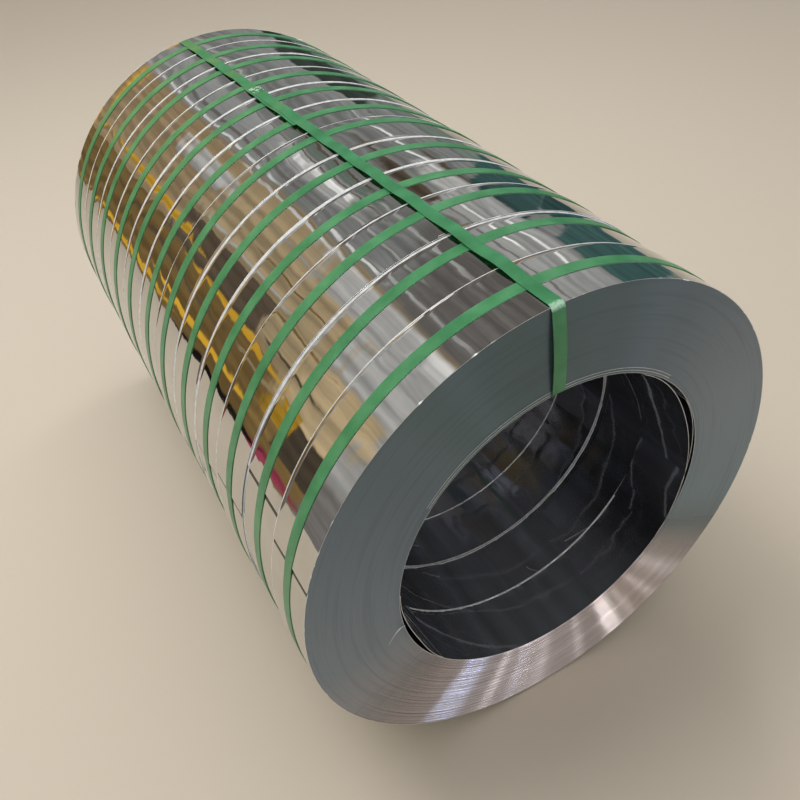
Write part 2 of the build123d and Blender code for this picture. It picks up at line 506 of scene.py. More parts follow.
    def bore(self, angles: Array) -> Strip:
        """Radii, places and slots along the bore, from the near edge to the far one."""
        size = self.size
        burrs = self.spikes(angles, Draw.BURRS, self.burr_count, self.burr_reach, self.burr_height)
        band = self.band(angles, BORE_BANDS, Draw.BORE_BAND) + burrs
        shares = np.linspace(0, 1, self.bore_columns)[None, :]
        start = size.near_y + self.rim
        y = start + shares * (size.far_y - band - start)
        uneven = waves(self.rng(Draw.BORE), (5, 40), sides=2, slope=0.006, terms=10)
        radius = self.axle.bore_radius + uneven(angles, shares) * np.sin(math.pi * shares)
        edge_y = size.far_y - EDGE_INSET - band * np.array(self.bore_breaks)
        edge_radius = self.axle.bore_radius - band * self.bore_rise * np.array(self.bore_rises)
        double = BORE_BANDS[min(size.index, len(BORE_BANDS) - 1)] * MM > self.double_band
        middle = Part.BORE if double else Part.EDGE
        slots = [Part.BORE] * (self.bore_columns - 1) + [Part.EDGE, middle] + [Part.EDGE] * 2
        return np.hstack([radius, edge_radius]), np.hstack([y, edge_y]), np.tile(slots, (len(angles), 1))

    def face(self, angles: Array, y: float, inwards: float, shows: bool) -> Strip:
        """Radii, places and slots across an end face, from the bore out, without the rim.

        Args:
            angles: One column of angles.
            y: The end plane.
            inwards: Sign of Y that leads into the coil.
            shows: Whether the face is seen, and so has its wraps.

        Returns:
            The radii, the places and the slots of the bands between them.
        """
        inner = self.axle.bore_radius + self.rim
        outer = self.size.wound_radius(angles) - self.rim
        if not shows:
            radius = inner + np.linspace(0, 1, 3) * (outer - inner)
            slots = np.full((len(angles), 2), Part.FACE)
            return radius, np.full(radius.shape, y + inwards * self.hidden_depth), slots
        outer = outer - self.nick_share * self.nicks(angles)
        rng = self.rng(Draw.FACE)
        steps = np.array([-self.proud_flank, 0, self.proud_width, self.proud_width + self.proud_flank])
        proud = np.concatenate([offset * MM + steps for offset in self.proud_wraps])
        depths = np.tile([self.proud_height, 0, 0, self.proud_height], len(self.proud_wraps))
        start = proud[-1] + self.proud_gap
        wraps = inner + start + np.linspace(0, 1, self.face_columns) * (outer - inner - start)
        radius = np.hstack([np.full(angles.shape, inner), inner + proud + 0 * angles, wraps])
        slow = self.slow_relief * (1 + np.sin(np.cumsum(rng.uniform(*self.slow_steps, self.face_columns))))
        fine = np.abs(rng.normal(0, self.fine_relief, self.face_columns))
        fine[-1] = 0
        depth = np.concatenate([[self.proud_height], depths, self.proud_height + slow + fine])
        slots = np.full((len(angles), radius.shape[1] - 1), Part.FACE)
        turn = signed(angles[:, 0])
        lit = (turn > self.proud_from) & (turn < self.proud_to)
        # The flat top of each proud wrap takes the pale edge finish only where it faces the light, a painted
        # highlight
        slots[np.ix_(lit, range(2, proud.size, steps.size))] = Part.EDGE
        return radius, y + inwards * np.broadcast_to(depth, radius.shape), slots

    def far_face(self, angles: Array) -> Strip:
        """Radii, places and slots of the far end, from the bore out."""
        radius, y, slots = self.face(angles, self.size.far_y, -1, self.is_far)
        return radius, y, np.hstack([slots, np.full(angles.shape, Part.EDGE)])

    def near_face(self, angles: Array) -> Strip:
        """Radii, places and slots of the near end, from the rim in."""
        radius, y, slots = self.face(angles, self.size.near_y, 1, self.is_near)
        return radius[:, ::-1], y[:, ::-1], np.hstack([slots[:, ::-1], np.full(angles.shape, Part.EDGE)])

    def wrap(self, angles: Array) -> Strip:
        """Radii, places and slots of the outer wrap, from the far edge to the near one."""
        size = self.size
        band = self.band(angles, JOINT_BANDS, Draw.JOINT_BAND)
        shares = np.linspace(1, 0, self.wrap_columns)[None, :]
        near = size.near_y + self.rim + (self.nicks(angles) if self.is_near else 0)
        far = size.far_y - band - (self.nicks(angles) if self.is_far else 0)
        y = near + shares * (far - near)
        wound = size.wound_radius(angles)
        bulge = waves(self.rng(Draw.BULGE), (6, 16), sides=1, slope=0.004, terms=6)(angles, shares)
        ripple = waves(self.rng(Draw.RIPPLE), (30, 90), sides=4, slope=0.0042, terms=18)(angles, shares)
        free = 1 - np.exp(-(((y - size.strap_line(angles)) / self.free_run) ** 2))
        before_tail = (size.tail_angle - angles) % math.tau
        lift = self.tail_lift * np.clip(1 - before_tail / self.tail_run, 0, 1) ** 2
        radius = wound + (bulge + ripple + self.dent_field(angles, shares)) * free + lift * free
        edge_radius = wound + (0 if self.is_far else band * self.band_rise)
        edge_y = np.full(angles.shape, size.far_y - EDGE_INSET)
        slots = np.tile([Part.EDGE] + [Part.WRAP] * (self.wrap_columns - 1) + [Part.EDGE], (len(angles), 1))
        # The dark line under the lifted end of the strip is a painted shadow
        tail_shadowed = (angles[:, 0] - size.tail_angle) % math.tau < self.tail_line - self.tail_gap
        slots[np.ix_(tail_shadowed, slots[0] == Part.WRAP)] = Part.TAIL_SHADOW
        return np.hstack([edge_radius, radius]), np.hstack([edge_y, y]), slots

    def dent_field(self, angles: Array, shares: Array) -> Array:
        """Small dents and bulges where the wrap was handled."""
        rng = self.rng(Draw.DENTS)
        total = np.zeros(np.broadcast(angles, shares).shape)
        for _ in range(self.dents):
            centre = rng.uniform(*self.dent_angles)
            share = rng.uniform(*self.dent_shares)
            half_turn = rng.uniform(*self.dent_reach) * MM / self.size.outer_radius
            half_side = rng.uniform(*self.dent_width)
            depth = rng.choice([-1, 1]) * rng.uniform(*self.dent_depth) * MM
            turn = signed(angles - centre)
            total += depth * np.exp(-((turn / half_turn) ** 2) - ((shares - share) / half_side) ** 2)
        return total


@dataclass(frozen=True)
class CoilStrap:
    """A plastic strap pulled tight round one slit coil."""

    size: CoilSize
    axle: Axle
    bevel: float = 0.25 * MM
    crown: float = 0.05 * MM
    lift: float = 0.05 * MM

    def build(self, finish: Material) -> None:
        """Mesh the strap, dress it and let it stand for its node.

        Args:
            finish: The strapping's material.
        """
        size = self.size
        angles = np.linspace(0, math.tau, COLUMNS, endpoint=False)[:, None]
        half = STRAP_WIDTH / 2
        top = STRAP_THICKNESS
        sides = np.array([-half, half, half, half - self.bevel, 0, self.bevel - half, -half])
        heights = np.array([0, 0, top - self.bevel, top, top + self.crown, top, top - self.bevel])
        rng = default_rng([SEED, size.index, Draw.STRAP])
        wander = waves(rng, (2, 9), sides=0, slope=0.004, terms=5)(angles, np.zeros(1))
        y = size.strap_line(angles) + wander + sides
        radius = size.taut_radius(angles) + self.lift + heights
        name = f"coil_strap_{size.index + 1:02d}"
        mesh = grid_mesh(name, self.axle.at(angles, radius, y), [0] * sides.size, ring=True)
        place(f"{name}_band", mesh, [finish], STRAP_SLOT, name)


@dataclass(frozen=True)
class EyeStrap:
    """The strap through the eye: along the top, down both ends and through the bore, welded on top."""

    axle: Axle
    # The strap's underside along the top: place along the axis and radius, from the near rim to the far one
    line: tuple[Pair, ...]
    near_angle: float
    far_angle: float
    coil_width: float
    bend: float = 7.0 * MM
    bend_rows: int = 7
    # How far the stiff strap stands off where it turns a corner, and over what length it comes down again
    stand_off: float = 1.2 * MM
    settle: float = 22.0 * MM
    # How far it bows away between two coil straps, between the first two, and over the end faces
    bow: float = 2.5 * MM
    first_bow: float = 3.2 * MM
    face_bow: float = 4.5 * MM
    step: float = 9.0 * MM
    # The lap, in coil widths from the near rim
    lap_start: float = 6.38
    lap_end: float = 8.30
    lap_ramp: float = 0.25
    lap_shift: float = 4.0 * MM
    weld_start: float = 8.03
    weld_height: float = 1.5 * MM
    weld_past: float = 0.03
    weld_rows: int = 26
    weld_columns: int = 12
    # The weld: how far it runs out past each side and how ragged it is there in millimetres, the power that
    # thins out its lumps, where its crown begins in radians, and its least height, its sides and its foot
    weld_over: Pair = (0.6 * MM, 0.3 * MM)
    weld_ragged: float = 1.4
    weld_lumps: float = 1.6
    weld_taper: float = 0.25
    weld_least: float = 0.08 * MM
    weld_side: float = -0.5 * MM
    weld_foot: float = -0.6 * MM
    bevel: float = 0.2 * MM
    crown: float = 0.06 * MM
    # Further out from the bore than this, a corner isn't on the stretch that runs through the bore
    bore_clear: float = 60 * MM

    @classmethod
    def measure(cls, axle: Axle, coils: Sequence[CoilSize], node: Object) -> EyeStrap:
        """Read the strap's line off its node.

        Args:
            axle: The common axis.
            coils: The coils' sizes.
            node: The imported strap.

        Returns:
            The strap.
        """
        near_y, far_y = coils[0].near_y, coils[-1].far_y
        across, up, y = axle.seen_from(node)
        on_top = np.hypot(across, up) > axle.bore_radius + cls.bore_clear
        angles = np.arctan2(across, up)
        near_angle, far_angle = (
            float(angles[on_top & (np.abs(y - end) < NEAR_ENOUGH)].mean()) for end in (near_y, far_y)
        )
        middle = near_angle + (y - near_y) / (far_y - near_y) * (far_angle - near_angle)
        radii = across * np.sin(middle) + up * np.cos(middle)
        lowest: dict[float, float] = {}
        for place_y, radius in zip(y[on_top], radii[on_top]):
            if near_y - NEAR_ENOUGH < place_y < far_y + NEAR_ENOUGH:
                key = round(float(place_y), 4)
                lowest[key] = min(lowest.get(key, 1.0), float(radius))
        return cls(axle, tuple(sorted(lowest.items())), near_angle, far_angle, coils[0].far_y - near_y)

    @property
    def near_y(self) -> float:
        """Near end plane."""
        return self.line[0][0]

    @property
    def far_y(self) -> float:
        """Far end plane."""
        return self.line[-1][0]

    def under(self, y: Array) -> Array:
        """Radius of the strap's underside on top, resting on the coil straps and bowed up between them."""
        places, radii = zip(*self.line)
        coil = (y - self.near_y) / self.coil_width - 0.5
        last = round((self.far_y - self.near_y) / self.coil_width) - 1
        height = np.where(coil < 1, self.first_bow, self.bow) * np.sin(math.pi * coil) ** 2
        bow = np.where((coil > 0) & (coil < last), height, 0)
        return np.interp(y, places, radii) + self.off_ends(y, self.near_y, self.far_y) + bow

    def lap_share(self, y: Array, ramp_from: float, ramp_to: float) -> Array:
        """Share of the lap's rise or shift at each place, from none at one place to all at the other."""
        start, end = (self.near_y + place * self.coil_width for place in (ramp_from, ramp_to))
        return np.clip((y - start) / (end - start), 0, 1)

    def off_ends(self, along: Array, start: float, end: float) -> Array:
        """How far the stiff strap stands off near both ends of a straight stretch."""
        return self.stand_off * (np.exp((start - along) / self.settle) + np.exp((along - end) / self.settle))

    @staticmethod
    def rows(y: Array, radius: Array, shift: Array | float = 0.0) -> Array:
        """Rows of place along the axis, radius and shift towards the tails."""
        return np.stack(np.broadcast_arrays(y, radius, shift), axis=1)

    def corner(self, y: float, radius: float, from_degrees: float) -> Array:
        """Rows round a quarter turn about a centre."""
        turn = np.radians(from_degrees + np.linspace(0, 90, self.bend_rows)[1:-1])
        return self.rows(y + self.bend * np.cos(turn), radius + self.bend * np.sin(turn))

    def end_face(self, y: float, outwards: int, radii: Array, bore: float, top: float) -> Array:
        """Rows over one end face, where the strap bows outwards between the bore and the top."""
        bow = self.face_bow * np.sin(math.pi * (top - radii) / (top - bore))
        return self.rows(y + outwards * (self.off_ends(radii, bore, top) + bow), radii)

    def run(self, start: float, end: float) -> Array:
        """Evenly spaced places from start to end."""
        return np.linspace(start, end, max(2, round(abs(end - start) / self.step)))

    def path(self) -> Array:
        """The strap's underside from its upper end round to its lower end.

        Returns:
            Rows of place along the axis, radius and shift towards the tails.
        """
        bore = math.sqrt(self.axle.bore_radius**2 - (STRAP_WIDTH / 2) ** 2)
        inset = self.bend - self.stand_off
        (near, near_top), (far, far_top) = self.line[0], self.line[-1]
        upper = self.run(near + self.lap_end * self.coil_width, near + inset)
        rise = STRAP_THICKNESS * self.lap_share(upper, self.lap_start - self.lap_ramp, self.lap_start)
        lower = self.run(far - inset, near + self.lap_start * self.coil_width)
        shift = self.lap_shift * self.lap_share(lower, self.lap_end + self.lap_ramp, self.lap_end)
        inside = self.run(near + inset, far - inset)
        return np.concatenate([
            self.rows(upper, self.under(upper) + rise),
            self.corner(near + inset, near_top - inset, 90),
            self.end_face(near, -1, self.run(near_top - inset, bore + inset), bore, near_top),
            self.corner(near + inset, bore + inset, 180),
            self.rows(inside, bore - self.off_ends(inside, near, far)),
            self.corner(far - inset, bore + inset, 270),
            self.end_face(far, 1, self.run(bore + inset, far_top - inset), bore, far_top),
            self.corner(far - inset, far_top - inset, 0),
            self.rows(lower, self.under(lower), shift),
        ])

    def angle(self, y: Array) -> Array:
        """Angle of the strap's middle line at each place along the axis."""
        share = (y - self.near_y) / (self.far_y - self.near_y)
        return self.near_angle + share * (self.far_angle - self.near_angle)

    def points(self, path: Array, sides: Array, heights: Array) -> Array:
        """Points of sections along a path.

        Args:
            path: Rows of place, radius and shift.
            sides: Each section point's distance across the strap, one row for all sections or one for each.
            heights: Its height over the underside.

        Returns:
            Rows by section points by 3.
        """
        along = np.gradient(path[:, :2], axis=0)
        along /= np.linalg.norm(along, axis=1, keepdims=True)
        y = path[:, :1] + along[:, 1:] * heights
        radius = path[:, 1:2] - along[:, :1] * heights
        angle = self.angle(path[:, :1])
        reach = sides + path[:, 2:3]
        x = -radius * np.sin(angle) - reach * np.cos(angle)
        z = self.axle.height + radius * np.cos(angle) - reach * np.sin(angle)
        return np.stack([x, y, z], axis=-1)

    def build(self, finish: Material) -> None:
        """Mesh the strap, dress it and let it stand for its node.

        Args:
            finish: The strapping's material.
        """
        half, top, bevel = STRAP_WIDTH / 2, STRAP_THICKNESS, self.bevel
        flat = half - bevel
        sides = np.array([-half, -flat, flat, half, half, flat, 0, -flat, -half])
        heights = np.array([bevel, 0, 0, bevel, top - bevel, top, top + self.crown, top, top - bevel])
        points = self.points(self.path(), sides, heights)
        mesh = grid_mesh("eye_strap_band", points, [0] * sides.size, ring=False)
        place("eye_strap_band", mesh, [finish], STRAP_SLOT, "eye_strap")

    def build_weld(self, finish: Material) -> None:
        """Mesh and dress the lumpy weld, where the plastic melted and ran out past the strap's sides.

        Args:
            finish: The melted plastic's material.
        """
        half = STRAP_WIDTH / 2
        rng = default_rng([SEED, Draw.WELD])
        rows, columns = self.weld_rows, self.weld_columns
        coils = np.linspace(self.weld_start, self.lap_end + self.weld_past, rows)
        weld_y = coils * self.coil_width + self.near_y
        path = self.rows(weld_y, self.under(weld_y) + 2 * STRAP_THICKNESS)[::-1]
        across = np.linspace(-half - self.weld_over[0], half + self.weld_over[1], columns)
        ragged = rng.uniform(-self.weld_ragged, self.weld_ragged, (rows, 1)) * MM
        rough = rng.uniform(0, 1, (rows, columns)) ** self.weld_lumps
        crown = np.sin(np.linspace(self.weld_taper, math.pi - self.weld_taper, rows))[:, None]
        heights = self.weld_height * rough * crown + self.weld_least
        heights[:, [0, -1]] = self.weld_side
        low = np.full((rows, 2), self.weld_foot)
        sides = np.hstack([across[[0]] + ragged, across[[-1]] + ragged, across[::-1] + ragged])
        points = self.points(path, sides, np.hstack([low, heights]))
        mesh = grid_mesh("eye_strap_weld", points, [0] * points.shape[1], ring=False)
        place("eye_strap_weld", mesh, [finish], STRAP_SLOT)


@dataclass(frozen=True)
class Sliver:
    """A hair of steel that slitting left on an edge."""

    name: str
    # Degrees from the top towards -X, and distance from the axis and place along it in millimetres
    points: tuple[Point, Point, Point]
    thickness: float = 0.7 * MM
    # Share of the thickness that is lost by its end, and a direction that no sliver runs along
    taper: float = 0.7
    aside: Point = (0.3, 0.9, 0.1)
    rows: int = 24
    sides: int = 6

    def build(self, axle: Axle, finishes: Sequence[Material]) -> None:
        """Mesh the sliver as a tapered bent wire through its three points.

        Args:
            axle: The common axis.
            finishes: Materials in the order of Part.
        """
        start, middle, end = (axle.at(math.radians(a), r * MM, y * MM) for a, r, y in self.points)
        pull = 2 * middle - (start + end) / 2
        share = np.linspace(0, 1, self.rows)[:, None]
        line = (1 - share) ** 2 * start + 2 * share * (1 - share) * pull + share**2 * end
        along = np.gradient(line, axis=0)
        along /= np.linalg.norm(along, axis=1, keepdims=True)
        side = np.cross(along, self.aside)
        side /= np.linalg.norm(side, axis=1, keepdims=True)
        other = np.cross(along, side)
        turn = np.linspace(0, math.tau, self.sides, endpoint=False)[None, :, None]
        half = self.thickness / 2 * (1 - self.taper * share[:, None])
        points = line[:, None] + half * (np.cos(turn) * side[:, None] + np.sin(turn) * other[:, None])
        mesh = grid_mesh(self.name, points, [Part.EDGE] * self.sides, ring=False)
        place(self.name, mesh, finishes, STEEL_SLOT)


@dataclass(frozen=True)
class LooseWrap:
    """An innermost wrap of the near coil that has come away from the bore and bulges inwards."""

    name: str
    # Degrees from the top towards -X where it leaves and meets the bore
    start: float
    end: float
    # Its deepest bulge and how far it lies off the bore at its ends, in millimetres, and where it is deepest
    depth: float
    peak: float
    base: float
    width: float = 101.0 * MM
    thickness: float = 0.8 * MM
    rows: int = 120

    def build(self, axle: Axle, near_y: float, finishes: Sequence[Material]) -> None:
        """Mesh the loose stretch and dress it.

        Args:
            axle: The common axis.
            near_y: The near end plane.
            finishes: Materials in the order of Part.
        """
        share = np.linspace(0, 1, self.rows)[:, None]
        angles = np.radians(self.start + share * (self.end - self.start))
        peak = (self.peak - self.start) / (self.end - self.start)
        skewed = np.where(share < peak, share / peak / 2, 0.5 + (share - peak) / (1 - peak) / 2)
        bulge = self.depth * MM * np.sin(math.pi * skewed) ** 2
        inner = axle.bore_radius - self.base * MM - self.thickness - bulge
        radius = inner + np.array([self.thickness, self.thickness, 0, 0])
        y = near_y + np.array([self.width, EDGE_INSET, EDGE_INSET, self.width])
        slots = [Part.BORE, Part.EDGE, Part.BORE, Part.EDGE]
        mesh = grid_mesh(self.name, axle.at(angles, radius, y), slots, ring=False)
        place(self.name, mesh, finishes, STEEL_SLOT)


@dataclass(frozen=True)
class Finish:
    """A plain matte finish, which the others build on."""

    name: str
    colour: str

    def material(self) -> Material:
        """Make the material: its base colour, and over it what its kind of finish gives the shader."""
        material = bpy.data.materials.new(self.name)
        material.use_nodes = True
        tree = material.node_tree
        tree.nodes.clear()
        shader = add(tree, "BsdfPrincipled", {"Base Color": linear(self.colour)})
        add(tree, "OutputMaterial", {"Surface": shader})
        wire(shader, self.inputs(tree, add(tree, "TexCoord").outputs["Object"]))
        return material

    def inputs(self, tree: NodeTree, place_at: NodeSocket) -> Inputs:
        """Make what goes into the shader.

        Args:
            tree: The material's nodes.
            place_at: The place on the piece.

        Returns:
            Values, nodes and sockets by the name of the shader's input.
        """
        return {"Roughness": MATTE_ROUGHNESS}

    def blend(self, tree: NodeTree, share: Node, other: str, under: NodeSocket | None = None) -> NodeSocket:
        """Blend from the base colour to another.

        Args:
            tree: The material's nodes.
            share: The node that gives the other colour's share.
            other: The other colour.
            under: What stands for the base colour, if it is no longer plain.

        Returns:
            The blended colour.
        """
        colours = {0: share, 6: under or linear(self.colour), 7: linear(other)}
        return add(tree, "Mix", colours, data_type="RGBA").outputs[2]


@dataclass(frozen=True)
class BrightAnnealedSteel(Finish):
    """Cold rolled strip, bright annealed: a mirror with faint rolling lines and a thin film of oil."""

    film_colour: str = "#b9b8b4"
    roughness: Pair = (0.02, 0.07)
    # In the open, and low in the bore, where the film has dried to a haze
    metallic: Pair = (1.0, 1.0)
    # Height at which that haze begins, and at which it is full
    dry_height: Pair = (0.25, 0.12)
    ripple_mm: float = 22.0
    ripple_depth: float = 0.06 * MM
    film_mm: float = 60.0
    film_range: Pair = (0.35, 0.75)
    # How much longer the film's streaks are along the axis than across it
    film_stretch: float = 1.0

    def inputs(self, tree: NodeTree, place_at: NodeSocket) -> Inputs:
        """Make what goes into the shader."""
        drawn_out = {0: place_at, 1: (1, 1 / self.film_stretch, 1)}
        film_at = add(tree, "VectorMath", drawn_out, operation="MULTIPLY")
        film = add(tree, "TexNoise", {"Vector": film_at, "Scale": PER_MM / self.film_mm, "Detail": 4.0})
        ripple = add(tree, "TexNoise", {"Vector": place_at, "Scale": PER_MM / self.ripple_mm, "Detail": 1.0})
        (smooth, rough), (clean, dry), (high, low) = self.roughness, self.metallic, self.dry_height
        thin, thick = self.film_range
        metallic = clean
        if dry != clean:
            height = add(tree, "SeparateXYZ", {0: place_at}).outputs[2]
            haze = {0: height, 1: high, 2: low, 3: clean, 4: dry}
            metallic = add(tree, "MapRange", haze, interpolation_type="SMOOTHSTEP")
        return {
            "Base Color": self.blend(tree, film, self.film_colour),
            "Metallic": metallic,
            "Roughness": add(tree, "MapRange", {0: film, 1: thin, 2: thick, 3: smooth, 4: rough}),
            "Normal": add(tree, "Bump", {"Strength": 1.0, "Distance": self.ripple_depth, "Height": ripple}),
        }


@dataclass(frozen=True)
class SlitEdgeSteel(Finish):
    """The stacked slit edges of the wraps.

    Each edge is a round-backed thread of dull steel, so together they fan light out across the rings and
    keep it narrow along them. A film of oil dulls the upper part. The colour round the end is painted light:
    slate at the top as painted shade, and pale and warm at the bottom as a painted reflection of the floor
    with painted highlights.
    """

    axle_height: float
    # Angle from the top towards -X in degrees, and the colour there, which is painted light: painted shade at
    # the top, and a painted reflection of the floor with painted highlights at the bottom
    painted_light_sectors: tuple[tuple[float, str], ...] = (
        (0, "#4f6063"), (30, "#5a6c6f"), (60, "#6f7c86"), (100, "#838f98"), (122, "#a5a2a6"),
        (138, "#e2dadf"), (212, "#e0d3d0"), (230, "#c6bfbf"), (240, "#7f8b90"), (252, "#80929b"),
        (290, "#7a8791"), (324, "#67757f"), (340, "#56656b"), (360, "#4f6063"),
    )
    # Rings of darker wraps: how wide they are, and the share of the colour left at the top and at the bottom
    group_mm: float = 3.0
    ring_shares: Pair = (0.95, 0.5)
    # Arcs of thicker oil: how wide they are, how many times longer, and the share of the colour left
    smear_mm: float = 7.0
    smear_stretch: float = 26.0
    smear_share: float = 0.89
    # Steepest slope of a thread's round back at the top, where oil fills the grooves, and at the bottom
    slopes: Pair = (0.04, 1.0)
    # Least and most share of that slope from wrap to wrap
    uneven: Pair = (0.75, 1.25)
    anisotropy: float = 1.0
    # A quarter turn, so that light fans out across the rings and not along them
    fan_turn: float = 0.25
    # At the top, where a film of oil dulls the steel, and at the bottom
    roughness: Pair = (0.29, 0.2)
    metallic: Pair = (0.3, 1.0)
    # How far down the end the top's look ends and the bottom's begins, as a share of the radius
    change: Pair = (-0.35, -0.8)

    def tone(self, tree: NodeTree, centred: Node, radius: NodeSocket, groups: Node, darkest: Node) -> Node:
        """Darken rings and arcs where the oil is thicker.

        Args:
            tree: The material's nodes.
            centred: The place from the axis.
            radius: Its distance from the axis.
            groups: Noise from wrap to wrap.
            darkest: The share of the colour that the darkest ring has left.

        Returns:
            The share of the colour that is left.
        """
        rings = add(tree, "MapRange", {0: groups, 1: 0.4, 2: 0.55, 3: darkest, 4: 1.0})
        squeezed = add(tree, "VectorMath", {0: centred, 3: 1 / self.smear_stretch}, operation="SCALE")
        ring = add(tree, "CombineXYZ", {"Y": radius})
        smear_at = add(tree, "VectorMath", {0: squeezed, 1: ring}, operation="ADD")
        smears = add(tree, "TexNoise", {"Vector": smear_at, "Scale": PER_MM / self.smear_mm, "Detail": 2.0})
        smear = add(tree, "MapRange", {0: smears, 1: 0.34, 2: 0.47, 3: self.smear_share, 4: 1.0})
        return add(tree, "Math", {0: rings, 1: smear}, operation="MULTIPLY")

    def normal(self, tree: NodeTree, centred: Node, radius: NodeSocket, groups: Node, ridges: Node) -> Node:
        """Tilt the surface as the round backs of the wraps' edges do.

        Args:
            tree: The material's nodes.
            centred: The place from the axis.
            radius: Its distance from the axis.
            groups: Noise from wrap to wrap.
            ridges: The steepest slope of those backs.

        Returns:
            The tilted normal.
        """
        around = add(tree, "Math", {0: radius, 1: math.tau / STRIP_THICKNESS}, operation="MULTIPLY")
        threads = add(tree, "Math", {0: around}, operation="SINE")
        uneven = add(tree, "MapRange", {0: groups, 1: 0.35, 2: 0.65, 3: self.uneven[0], 4: self.uneven[1]})
        steep = add(tree, "Math", {0: ridges, 1: uneven}, operation="MULTIPLY")
        slope = add(tree, "Math", {0: threads, 1: steep}, operation="MULTIPLY")
        # Outwards from the axis, on the centred axes that the mapping turned
        outwards = add(tree, "VectorMath", {0: centred, 1: (-1, 0, 1)}, operation="MULTIPLY")
        unit = add(tree, "VectorMath", {0: outwards}, operation="NORMALIZE")
        tilt = add(tree, "VectorMath", {0: unit, 3: slope}, operation="SCALE")
        flat = add(tree, "NewGeometry").outputs["Normal"]
        tilted = add(tree, "VectorMath", {0: flat, 1: tilt}, operation="ADD")
        return add(tree, "VectorMath", {0: tilted}, operation="NORMALIZE")

    def inputs(self, tree: NodeTree, place_at: NodeSocket) -> Inputs:
        """Make what goes into the shader."""
        from_axis = {"Vector": place_at, "Location": (0, 0, -self.axle_height), "Scale": (-1, 0, 1)}
        centred = add(tree, "Mapping", from_axis)
        radius = add(tree, "VectorMath", {0: centred}, operation="LENGTH").outputs["Value"]
        axes = add(tree, "SeparateXYZ", {0: centred})
        angle = add(tree, "Math", {0: axes, 1: axes.outputs[2]}, operation="ARCTAN2")
        turn = add(tree, "Math", {0: angle, 1: math.tau}, operation="FLOORED_MODULO")
        # The colour round the end is painted light, from painted shade at the top to a painted reflection at
        # the bottom
        painted_sector = add(tree, "ValToRGB", {0: add(tree, "Math", {0: turn, 1: math.tau}, operation="DIVIDE")})
        set_stops(painted_sector.color_ramp, [(degrees / 360, colour) for degrees, colour in self.painted_light_sectors])
        each_wrap = {"W": radius, "Scale": PER_MM / self.group_mm, "Detail": 3.0, "Roughness": 0.6}
        groups = add(tree, "TexNoise", each_wrap, noise_dimensions="1D")
        rise = add(tree, "Math", {0: axes.outputs[2], 1: radius}, operation="DIVIDE")
        change = {0: rise, 1: self.change[0], 2: self.change[1]}
        low = add(tree, "MapRange", change, interpolation_type="SMOOTHSTEP")
        darkest, ridges, metallic, roughness = (
            add(tree, "MapRange", {0: low, 3: at_top, 4: at_bottom})
            for at_top, at_bottom in (self.ring_shares, self.slopes, self.metallic, self.roughness)
        )
        tone = self.tone(tree, centred, radius, groups, darkest)
        return {
            "Base Color": add(tree, "VectorMath", {0: painted_sector, 3: tone}, operation="SCALE"),
            "Metallic": metallic,
            "Roughness": roughness,
            "Anisotropic": self.anisotropy,
            "Anisotropic Rotation": self.fan_turn,
            "Tangent": add(tree, "Tangent", direction_type="RADIAL", axis="Y"),
            "Normal": self.normal(tree, centred, radius, groups, ridges),
        }


@dataclass(frozen=True)
class ShearedSteel(Finish):
    """The burnished burr that slitting leaves along an edge: a near white line, partly its own duller steel
    and partly a painted highlight of the light it catches.
    """

    shade_colour: str = "#d2d3d4"
    shade_range: Pair = (0.6, 0.35)
    roughness: float = 0.3
    metallic: float = 0.2
    grain_mm: float = 9.0

    def inputs(self, tree: NodeTree, place_at: NodeSocket) -> Inputs:
        """Make what goes into the shader."""
        grain = add(tree, "TexNoise", {"Vector": place_at, "Scale": PER_MM / self.grain_mm, "Detail": 3.0})
        shade = add(tree, "MapRange", {0: grain, 1: self.shade_range[0], 2: self.shade_range[1]})
        return {
            "Base Color": self.blend(tree, shade, self.shade_colour),
            "Metallic": self.metallic,
            "Roughness": self.roughness,
            "Normal": add(tree, "Bump", {"Strength": 0.2, "Distance": 0.05 * MM, "Height": grain}),
        }


@dataclass(frozen=True)
class PaintedTailShadow(Finish):
    """A painted shadow: a nearly black line under the lifted end of a strip, with a gloss."""

    roughness: float = 0.3
    bump_mm: float = 4.0

    def inputs(self, tree: NodeTree, place_at: NodeSocket) -> Inputs:
        """Make what goes into the shader."""
        shadow_bumps = add(tree, "TexNoise", {"Vector": place_at, "Scale": PER_MM / self.bump_mm, "Detail": 2.0})
        bump = add(tree, "Bump", {"Strength": 0.5, "Distance": 0.2 * MM, "Height": shadow_bumps})
        return {"Roughness": self.roughness, "Normal": bump}


